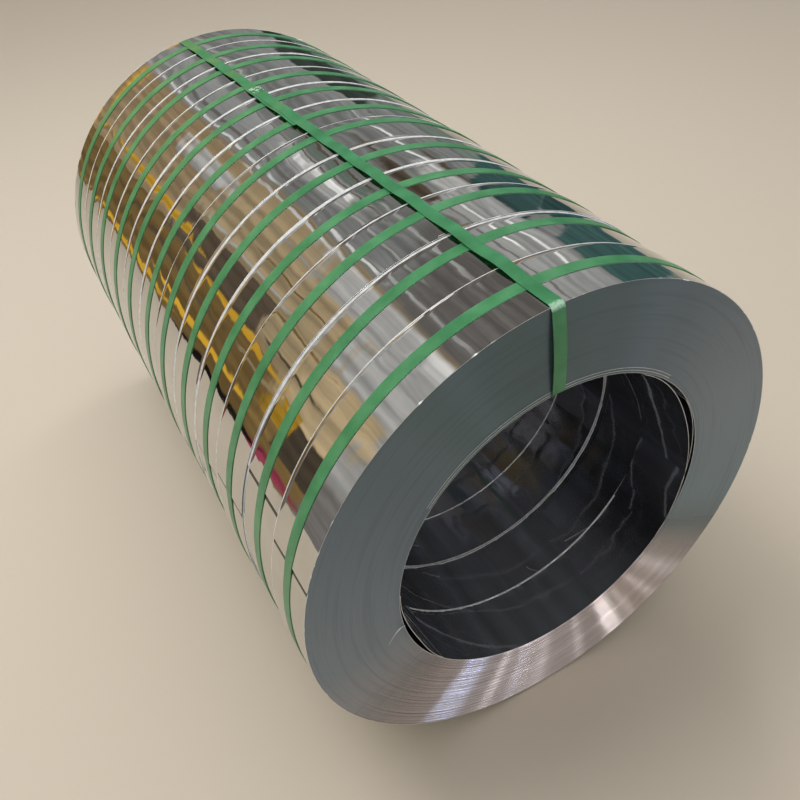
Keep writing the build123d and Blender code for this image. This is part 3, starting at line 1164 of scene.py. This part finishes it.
@dataclass(frozen=True)
class EmbossedPet(Finish):
    """Green polyester strapping, embossed with fine diamonds: semi-gloss, with a soft broken highlight."""

    light_colour: str = "#4a9c64"
    roughness: float = 0.36
    ior: float = 1.57
    diamond_mm: float = 2.2
    stain_mm: float = 35.0
    # Noise below and above which the plain and the light colour stand alone
    stain_range: Pair = (0.3, 0.7)
    # The axis, and the distance from the middle and the radius at which a strap bends over a rim, where a
    # painted highlight lies
    axle: Axle | None = None
    crease: Pair = (0.0, 0.0)
    bend_highlight_colour: str = "#b4dcc0"
    bend_highlight_reach: float = 9.0 * MM
    bend_highlight_range: Pair = (0.12, 0.4)
    highlight_break_mm: float = 2.5

    def paint_bend_highlight(self, tree: NodeTree, place_at: NodeSocket, colour: NodeSocket) -> NodeSocket:
        """Lay a broken painted highlight over the colour where the strap is bent over a rim.

        Args:
            tree: The material's nodes.
            place_at: The place on the strap.
            colour: The strap's colour.

        Returns:
            The colour with the painted highlight.
        """
        centred = add(tree, "VectorMath", {0: place_at, 1: (0, 0, self.axle.height)}, operation="SUBTRACT")
        section = add(tree, "CombineXYZ")
        for index, axes in enumerate(((0, 1, 0), (1, 0, 1))):
            flat = add(tree, "VectorMath", {0: centred, 1: axes}, operation="MULTIPLY")
            wire(section, {index: add(tree, "VectorMath", {0: flat}, operation="LENGTH").outputs["Value"]})
        away = add(tree, "VectorMath", {0: section, 1: (*self.crease, 0)}, operation="DISTANCE")
        near = add(tree, "MapRange", {0: away.outputs["Value"], 1: self.bend_highlight_reach, 2: 0.0})
        highlight_breaks = add(tree, "TexNoise", {"Vector": place_at, "Scale": PER_MM / self.highlight_break_mm, "Detail": 3.0})
        share = add(tree, "Math", {0: near, 1: highlight_breaks}, operation="MULTIPLY")
        # A painted highlight on the bend, broken up by noise
        highlight_share = add(tree, "MapRange", {0: share, 1: self.bend_highlight_range[0], 2: self.bend_highlight_range[1]})
        return self.blend(tree, highlight_share, self.bend_highlight_colour, colour)

    def inputs(self, tree: NodeTree, place_at: NodeSocket) -> Inputs:
        """Make what goes into the shader."""
        stain = add(tree, "TexNoise", {"Vector": place_at, "Scale": PER_MM / self.stain_mm, "Detail": 5.0})
        light = add(tree, "MapRange", {0: stain, 1: self.stain_range[0], 2: self.stain_range[1]})
        colour = self.blend(tree, light, self.light_colour)
        if self.axle:
            colour = self.paint_bend_highlight(tree, place_at, colour)
        grid = {"Vector": place_at, "Scale": PER_MM / self.diamond_mm}
        diamonds = add(tree, "TexVoronoi", grid, distance="MANHATTAN")
        bump = add(tree, "Bump", {"Strength": 0.35, "Distance": 0.1 * MM, "Height": diamonds})
        return {"Base Color": colour, "Roughness": self.roughness, "IOR": self.ior, "Normal": bump}


class Tone(Enum):
    """Colours of what stands round the coils."""

    WHITE = "#ffffff"
    PALE = "#c6c6c5"
    LIGHT = "#b5b6b6"
    SAGE = "#7b877f"
    GREY = "#8f9190"
    SHADE = "#85817f"
    TAN = "#a89170"
    SAND = "#bba683"
    BROWN = "#806840"
    UMBER = "#5e4c33"
    DARK = "#66594b"
    BLACK = "#1f1b1a"
    SKY = "#aebdd6"
    GOLD = "#e9b63e"
    ROSE = "#a8465c"
    TEAL = "#466664"
    MOSS = "#4a534d"


# Reach over which a card's lean is told
LEAN_REACH = 0.1


@dataclass(frozen=True)
class Card:
    """A board or soft box that only the steel mirrors.

    Its place is a bearing about the coils' axis, in degrees from straight up towards +X, and a reach, which
    is the part of its direction that lies along +Y. Its lean is how many degrees it drifts over LEAN_REACH.
    """

    bearing: float
    reach: float
    width: float
    length: float
    tone: Tone
    gain: float = 1.0
    lean: float = 0.0
    blur: float = 0.12

    def lay_over(self, tree: NodeTree, place_at: Node, under: Node | NodeSocket) -> NodeSocket:
        """Lay the card over what is behind it.

        Args:
            tree: The world's nodes.
            place_at: Bearing in radians and reach, as X and Y.
            under: Colour behind the card.

        Returns:
            The colour with the card.
        """
        stretch = {
            "Vector": place_at, "Location": (math.radians(self.bearing), self.reach, 0),
            "Rotation": (0, 0, -math.atan(math.radians(self.lean) / LEAN_REACH)),
            "Scale": (math.radians(self.width) / 2, self.length / 2, 1),
        }
        local = add(tree, "Mapping", stretch, vector_type="TEXTURE")
        sides = add(tree, "SeparateXYZ", {0: add(tree, "VectorMath", {0: local}, operation="ABSOLUTE")})
        far_side = add(tree, "Math", {0: sides, 1: sides.outputs[1]}, operation="MAXIMUM")
        soft_edge = {0: far_side, 1: 1 + self.blur, 2: 1 - self.blur}
        inside = add(tree, "MapRange", soft_edge, interpolation_type="SMOOTHSTEP")
        colour = tuple(channel * self.gain for channel in linear(self.tone.value))
        return add(tree, "Mix", {0: inside, 6: under, 7: colour}, data_type="RGBA").outputs[2]


@dataclass(frozen=True)
class SoftCard(Card):
    """A card whose sides fade out."""

    blur: float = 0.4


@dataclass(frozen=True)
class SoftBox(Card):
    """A white card with rather soft sides, bright as a lamp with its gain."""

    tone: Tone = Tone.WHITE
    blur: float = 0.3


@dataclass(frozen=True)
class Lamp:
    """A soft lamp that looks at the coils and that the steel doesn't mirror."""

    name: str
    at: Point
    size: Pair
    watts: float
    # What it looks at
    aim: Point = (0, 0, 0.3)

    def hang(self) -> None:
        """Hang the lamp."""
        light = bpy.data.lights.new(self.name, "AREA")
        light.shape = "RECTANGLE"
        light.size, light.size_y = self.size
        light.energy = self.watts
        lamp = stand(self.name, light)
        lamp.location = self.at
        lamp.visible_glossy = False
        lamp.rotation_euler = (Vector(self.aim) - Vector(self.at)).to_track_quat("-Z", "Y").to_euler()


@dataclass(frozen=True)
class Studio:
    """Floor, lamps, surroundings and camera."""

    floor_colour: str = "#d9ccba"
    backdrop_colour: str = "#e4e0da"
    # Where the floor starts and ends along X and along Y
    floor_x: Pair = (-1.6, 3.6)
    floor_y: Pair = (-2.6, 5.2)
    # The fine streaks in what the steel mirrors: their width and reach, the noise that they come from, and
    # how they dim and brighten it
    streak_degrees: float = 4.0
    streak_reach: float = 0.2
    streak_range: Pair = (0.35, 0.65)
    streak_gain: Pair = (0.72, 1.2)
    # The even light on everything but mirrors
    fill_colour: str = "#e6e6e4"
    fill_strength: float = 0.6
    lamps: tuple[Lamp, ...] = (
        Lamp("key", (-1.3, 0.9, 4.0), (2.4, 2.0), watts=82.0),
        Lamp("top", (0.9, 0.9, 3.8), (0.5, 3.0), watts=26.0),
    )
    camera_at: Point = (-0.5299, -1.2186, 1.3072)
    heading: float = 27.27
    pitch: float = -38.58
    roll: float = -3.96
    focal_pixels: float = 840.4
    middle_pixel: Pair = (408.3, 372.3)
    frame_pixels: float = 800.0
    sensor: float = 36.0
    # Bearing where each broad background tone begins, round the coils' axis
    backgrounds: tuple[tuple[float, Tone], ...] = (
        (-180, Tone.TAN),
        (-116, Tone.BROWN),
        (-77, Tone.TAN),
        (-14, Tone.GREY),
        (84, Tone.SAGE),
        (130, Tone.LIGHT),
    )
    cards: tuple[Card, ...] = (
        # What the near coils mirror, left to right
        Card(-97, 0.70, 30, 0.10, Tone.BROWN, gain=1.3),
        Card(-70, 0.70, 30, 0.11, Tone.SAND, gain=1.35),
        Card(-104, 0.62, 34, 0.09, Tone.SHADE),
        Card(-68, 0.63, 40, 0.075, Tone.PALE, gain=0.85),
        Card(-94, 0.697, 18, 0.055, Tone.DARK, gain=0.65, blur=0.06),
        Card(-88, 0.737, 14, 0.026, Tone.GOLD, gain=0.62, blur=0.1),
        Card(-112, 0.71, 3.4, 0.09, Tone.ROSE, lean=-3, blur=0.2),
        Card(-35, 0.66, 38, 0.17, Tone.PALE, gain=0.95),
        SoftCard(-21, 0.68, 9, 0.05, Tone.WHITE, gain=0.95),
        Card(12, 0.65, 52, 0.21, Tone.SHADE, gain=0.85),
        Card(53, 0.66, 28, 0.21, Tone.LIGHT),
        Card(87, 0.62, 38, 0.10, Tone.TEAL, blur=0.06),
        Card(94, 0.685, 24, 0.03, Tone.TEAL, gain=0.6, blur=0.06),
        Card(86, 0.73, 38, 0.06, Tone.TEAL, gain=0.8, blur=0.06),
        SoftBox(49, 0.72, 1.4, 0.065, gain=1.3),
        SoftBox(58.7, 0.68, 1.6, 0.085, gain=1.1),
        Card(43, 0.70, 1.2, 0.15, Tone.SHADE, blur=0.3),
        # The middle coils
        Card(-44, 0.81, 60, 0.13, Tone.SAND, blur=0.2),
        Card(-24, 0.75, 17, 0.10, Tone.PALE, gain=1.05, blur=0.3),
        Card(-15.5, 0.83, 1.6, 0.09, Tone.WHITE, blur=0.5),
        SoftCard(9, 0.846, 13, 0.085, Tone.LIGHT),
        Card(10.5, 0.832, 4.0, 0.036, Tone.WHITE, gain=1.35, blur=0.35),
        Card(9.5, 0.868, 3.6, 0.026, Tone.WHITE, gain=1.2, blur=0.35),
        SoftCard(4.5, 0.85, 1.0, 0.09, Tone.DARK),
        SoftCard(14.5, 0.84, 1.0, 0.10, Tone.DARK),
        Card(20, 0.83, 7, 0.07, Tone.SAGE, blur=0.2),
        Card(41, 0.79, 7, 0.05, Tone.DARK, gain=0.8, blur=0.2),
        Card(-66, 0.838, 20, 0.075, Tone.DARK, blur=0.06),
        SoftCard(-52, 0.83, 1.5, 0.08, Tone.PALE),
        Card(57, 0.775, 14, 0.03, Tone.PALE, gain=1.1, blur=0.3),
        # The far coils
        Card(0, 0.905, 26, 0.075, Tone.LIGHT, gain=0.8, blur=0.2),
        Card(-33, 0.889, 14, 0.028, Tone.PALE, blur=0.2),
        SoftCard(-10, 0.90, 1.8, 0.07, Tone.WHITE),
        Card(82, 0.87, 27, 0.06, Tone.MOSS, gain=0.7, blur=0.06),
        Card(89, 0.915, 14, 0.04, Tone.MOSS, gain=0.6, blur=0.1),
        Card(-78, 0.80, 3, 0.10, Tone.GOLD, lean=4, blur=0.2),
        Card(-68, 0.89, 3.4, 0.09, Tone.GOLD, lean=21, blur=0.2),
        # The left side, down to the floor's edge
        Card(-124, 0.86, 16, 0.14, Tone.UMBER),
        Card(-102, 0.81, 3.6, 0.10, Tone.GOLD, lean=-4, blur=0.15),
        Card(-110, 0.876, 3.6, 0.06, Tone.GOLD, lean=-28, blur=0.15),
        Card(-113, 0.78, 5, 0.10, Tone.BLACK, lean=-10, blur=0.15),
        # Past the far end of the bore, pale panes on a warm board
        SoftCard(-15, 0.57, 110, 0.055, Tone.GOLD, gain=0.8),
        Card(0, 0.568, 44, 0.04, Tone.PALE, gain=3, blur=0.2),
        SoftCard(-9, 0.57, 3, 0.05, Tone.DARK),
        SoftCard(6, 0.57, 3, 0.05, Tone.DARK),
        Card(-20, 0.975, 190, 0.06, Tone.GOLD, gain=1.2, blur=0.2),
        # Thin bars and gaps between the broad ones
        SoftCard(-6, 0.72, 1.6, 0.10, Tone.LIGHT),
        SoftCard(-9, 0.79, 1.8, 0.05, Tone.WHITE),
        SoftCard(4, 0.80, 1.4, 0.12, Tone.PALE, lean=1),
        SoftCard(20, 0.75, 1.8, 0.09, Tone.PALE),
        SoftCard(23, 0.85, 1.4, 0.09, Tone.DARK),
        Card(-4, 0.88, 2.2, 0.08, Tone.SHADE, blur=0.3),
        SoftCard(30, 0.89, 2.4, 0.10, Tone.PALE, lean=2),
        SoftCard(44, 0.80, 2.0, 0.07, Tone.DARK),
        SoftCard(61, 0.81, 1.6, 0.06, Tone.WHITE, lean=-3),
        SoftCard(67, 0.78, 2.4, 0.05, Tone.DARK, lean=-3),
        SoftCard(-30, 0.78, 1.2, 0.10, Tone.PALE, lean=1),
        SoftCard(-43, 0.80, 1.2, 0.07, Tone.BROWN),
        SoftCard(-57, 0.77, 1.4, 0.06, Tone.BROWN, lean=2),
        SoftCard(-71, 0.75, 1.4, 0.07, Tone.DARK, lean=3),
        SoftCard(-88, 0.86, 1.6, 0.12, Tone.DARK, lean=6),
        SoftCard(-86, 0.77, 1.6, 0.05, Tone.SAND),
        # A broad board in front, and narrow soft boxes on it that fan out over the near end's lower part
        Card(10, -0.72, 190, 0.46, Tone.PALE, gain=1.6, blur=0.2),
        Card(86, -0.52, 13, 0.22, Tone.SKY, gain=12, lean=-4, blur=0.5),
        SoftBox(66, -0.655, 4, 0.30, gain=6, lean=-7),
        Card(52, -0.70, 2.5, 0.30, Tone.SKY, gain=6, lean=-8, blur=0.3),
        SoftBox(38, -0.76, 4, 0.30, gain=4.5, lean=-8),
        SoftBox(13, -0.82, 3, 0.30, gain=5.5, lean=-7),
        SoftBox(-12, -0.845, 9, 0.22, gain=13, lean=-3),
        SoftBox(-27, -0.845, 2.5, 0.22, gain=6.5),
        SoftBox(-44, -0.845, 4, 0.22, gain=5.5, lean=2),
        SoftCard(-64, -0.83, 8, 0.30, Tone.WHITE, gain=5, lean=6),
        # A softer one for the bend of the strap over the near rim
        Card(42, -0.59, 16, 0.07, Tone.WHITE, gain=20, blur=0.5),
    )

    def floor(self) -> None:
        """Lay the pale floor."""
        (left, right), (front, back) = self.floor_x, self.floor_y
        mesh = bpy.data.meshes.new("floor")
        corners = [(left, front, 0), (right, front, 0), (right, back, 0), (left, back, 0)]
        mesh.from_pydata(corners, [], [(0, 1, 2, 3)])
        mesh.materials.append(Finish("pale_floor", self.floor_colour).material())
        stand("floor", mesh)

    def world(self) -> None:
        """Light the room evenly, and give bright metal long soft boxes and shades to mirror."""
        world = bpy.data.worlds.new("studio")
        bpy.context.scene.world = world
        world.use_nodes = True
        tree = world.node_tree
        tree.nodes.clear()
        axes = add(tree, "SeparateXYZ", {0: add(tree, "TexCoord").outputs["Generated"]})
        angle = add(tree, "Math", {0: axes, 1: axes.outputs[2]}, operation="ARCTAN2")
        colour = add(tree, "ValToRGB", {0: add(tree, "MapRange", {0: angle, 1: -math.pi, 2: math.pi})})
        colour.color_ramp.interpolation = "CONSTANT"
        stops = [((degrees + 180) / 360, tone.value) for degrees, tone in self.backgrounds]
        set_stops(colour.color_ramp, stops)
        place_at = add(tree, "CombineXYZ", {0: angle, 1: axes.outputs[1]})
        for card in self.cards:
            colour = card.lay_over(tree, place_at, colour)
        fine = (1 / math.radians(self.streak_degrees), 1 / self.streak_reach, 0)
        streaked = add(tree, "VectorMath", {0: place_at, 1: fine}, operation="MULTIPLY")
        streaks = add(tree, "TexNoise", {"Vector": streaked, "Scale": 1.0, "Detail": 2.0})
        (least, most), (dim, bright) = self.streak_range, self.streak_gain
        shade = add(tree, "MapRange", {0: streaks, 1: least, 2: most, 3: dim, 4: bright})
        mirrored = add(tree, "Background", {0: colour, 1: shade})
        backdrop = add(tree, "Background", {0: linear(self.backdrop_colour), 1: 1.0})
        fill = add(tree, "Background", {0: linear(self.fill_colour), 1: self.fill_strength})
        ray = add(tree, "LightPath").outputs
        seen = add(tree, "MixShader", {0: ray["Is Camera Ray"], 1: fill, 2: backdrop})
        mix = add(tree, "MixShader", {0: ray["Is Glossy Ray"], 1: seen, 2: mirrored})
        add(tree, "OutputWorld", {"Surface": mix})

    def camera(self) -> None:
        """Stand the camera where the photograph was taken from."""
        data = bpy.data.cameras.new("camera")
        data.sensor_width = self.sensor
        data.lens = self.focal_pixels / self.frame_pixels * self.sensor
        data.shift_x = 0.5 - self.middle_pixel[0] / self.frame_pixels
        data.shift_y = self.middle_pixel[1] / self.frame_pixels - 0.5
        heading, pitch, roll = (math.radians(a) for a in (self.heading, self.pitch, self.roll))
        level_right = Vector((math.cos(heading), -math.sin(heading), 0))
        ahead = math.cos(pitch)
        forward = Vector((math.sin(heading) * ahead, math.cos(heading) * ahead, math.sin(pitch)))
        level_up = level_right.cross(forward)
        right = level_right * math.cos(roll) + level_up * math.sin(roll)
        up = right.cross(forward)
        camera = stand("camera", data)
        axes = Matrix((right, up, -forward)).transposed()
        camera.matrix_world = Matrix.Translation(self.camera_at) @ axes.to_4x4()
        bpy.context.scene.camera = camera

    def build(self) -> None:
        """Set up everything that isn't the coil."""
        self.floor()
        self.world()
        for lamp in self.lamps:
            lamp.hang()
        self.camera()
        bpy.context.scene.view_settings.view_transform = "Standard"


@dataclass
class CoilStack:
    """The twelve coils, their straps and what shows on them."""

    nodes: dict[str, Object]
    record: dict
    axle: Axle = field(init=False)
    coils: list[CoilSize] = field(init=False)
    loose_wraps: tuple[LooseWrap, ...] = (
        LooseWrap("loose_inner_wrap_01", 235, 330, depth=11.5, peak=290, base=1.1),
        LooseWrap("loose_inner_wrap_02", 236, 302, depth=6.5, peak=262, base=0.7),
        LooseWrap("loose_inner_wrap_03", 85, 130, depth=6.5, peak=110, base=0.4),
    )
    slivers: tuple[Sliver, ...] = (
        Sliver("bore_sliver_01", ((208.3, 253.2, -499.4), (212.5, 251.5, -505.6), (218.5, 253.4, -512))),
        Sliver("bore_sliver_02", ((190.4, 252.6, -493.5), (190.6, 251.5, -501), (192.6, 253.4, -512))),
        Sliver("rim_sliver", ((100.3, 253.6, -613), (97.6, 267.4, -622), (102.2, 283.2, -618)), 1.8 * MM),
    )

    def __post_init__(self) -> None:
        """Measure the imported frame."""
        bore = next(mount for mount in self.record["mounts"] if mount["name"] == "bore")
        self.axle = Axle(height=bore["pos_m"][2], bore_radius=bore["dims"]["r_mm"] * MM)
        count = sum(name.startswith("slit_coil_") for name in self.nodes)
        self.coils = [CoilSize.measure(index, self.axle, self.nodes) for index in range(count)]

    def build(self) -> None:
        """Make and dress every piece."""
        wrap = BrightAnnealedSteel("bright_annealed_steel", "#d6d5d1").material()
        # A darker copy of the outer wrap's steel: the bore's lower base colour is painted shade, over its film
        # of oil
        bore = BrightAnnealedSteel(
            "inner_steel_painted_shade", "#7b7672", film_colour="#c4cbd8", roughness=(0.04, 0.08),
            metallic=(0.95, 0.68), film_mm=34.0, film_stretch=14.0,
        ).material()
        face = SlitEdgeSteel("slit_edge_steel", "#6b7372", self.axle.height).material()
        # Pale edges: partly the burr's own steel, partly a painted highlight
        edge = ShearedSteel("sheared_edge_painted_highlight", "#eeeeed").material()
        tail_shadow = PaintedTailShadow("painted_tail_shadow", "#1c1815").material()
        green = EmbossedPet("embossed_green_pet", "#337c4b", "#529664").material()
        # The eye strap's finish carries a painted highlight where it bends over the near rim
        rim = (abs(self.coils[0].near_y), self.coils[0].outer_radius)
        deep = EmbossedPet("deep_green_pet", "#2d7547", "#44905f", axle=self.axle, crease=rim).material()
        melted = EmbossedPet(
            "melted_green_pet", "#2c7045", "#b9dfc3", roughness=0.22, stain_mm=5.0, stain_range=(0.46, 0.6)
        ).material()
        finishes = [bore, face, wrap, edge, tail_shadow]
        for size in self.coils:
            SlitCoil(size, self.axle, len(self.coils)).build(finishes)
            CoilStrap(size, self.axle).build(green)
        for loose in self.loose_wraps:
            loose.build(self.axle, self.coils[0].near_y, finishes)
        for sliver in self.slivers:
            sliver.build(self.axle, finishes)
        eye_strap = EyeStrap.measure(self.axle, self.coils, self.nodes["eye_strap"])
        eye_strap.build(deep)
        eye_strap.build_weld(melted)


def main() -> None:
    """Build the dressed coil."""
    logging.basicConfig(level=logging.INFO, format="%(name)s: %(message)s")
    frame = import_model()
    CoilStack(frame["nodes"], frame["record"]).build()
    Studio().build()
    bpy.context.view_layer.update()


if __name__ == "__main__":
    main()
